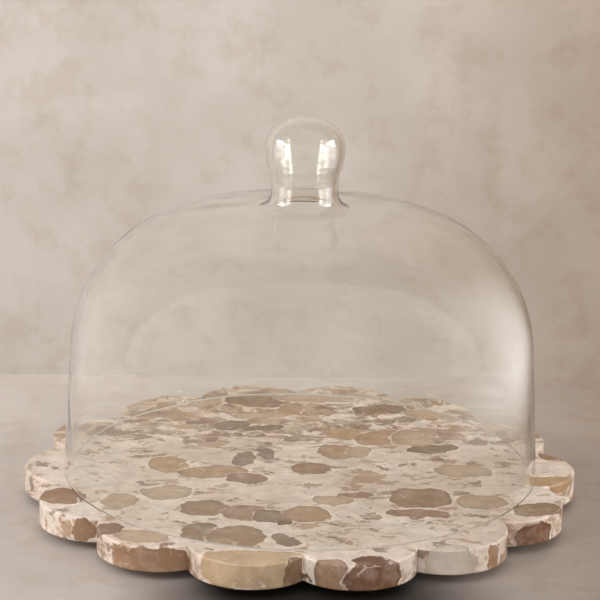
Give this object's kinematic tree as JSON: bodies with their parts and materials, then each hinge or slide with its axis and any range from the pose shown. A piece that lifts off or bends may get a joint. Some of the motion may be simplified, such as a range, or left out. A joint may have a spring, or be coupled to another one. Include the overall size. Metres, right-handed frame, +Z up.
{
  "type": "cake stand dome",
  "caption": "Scalloped stone cake platter on rubber bumper feet, covered by a lift-off clear glass dome with a hollow knob.",
  "frame": {"origin": "on the surface the feet stand on, under the middle of the platter", "axes": "+Z up along the dome's axis, towards the knob; a notch between two lobes faces -Y, and a lobe's crest faces +X"},
  "size_m": [0.33, 0.3234, 0.2358],
  "materials": {
    "stone": "honed and lightly polished fossil marble: cream ground with taupe and brown clasts and pale veins",
    "glass": "clear blown glass, smooth and polished",
    "bumper": "matt moulded rubber"
  },
  "bodies": {
    "platter": {"stone_platter": "stone", "bumper_foot_1": "bumper", "bumper_foot_2": "bumper", "bumper_foot_3": "bumper", "bumper_foot_4": "bumper"},
    "dome": {"glass_dome": "glass", "glass_knob": "glass"}
  },
  "joints": [
    {"name": "dome_lift", "type": "slide", "parent": "platter", "child": "dome", "axis": [0, 0, 1], "range_m": [0, 0.25]}
  ]
}
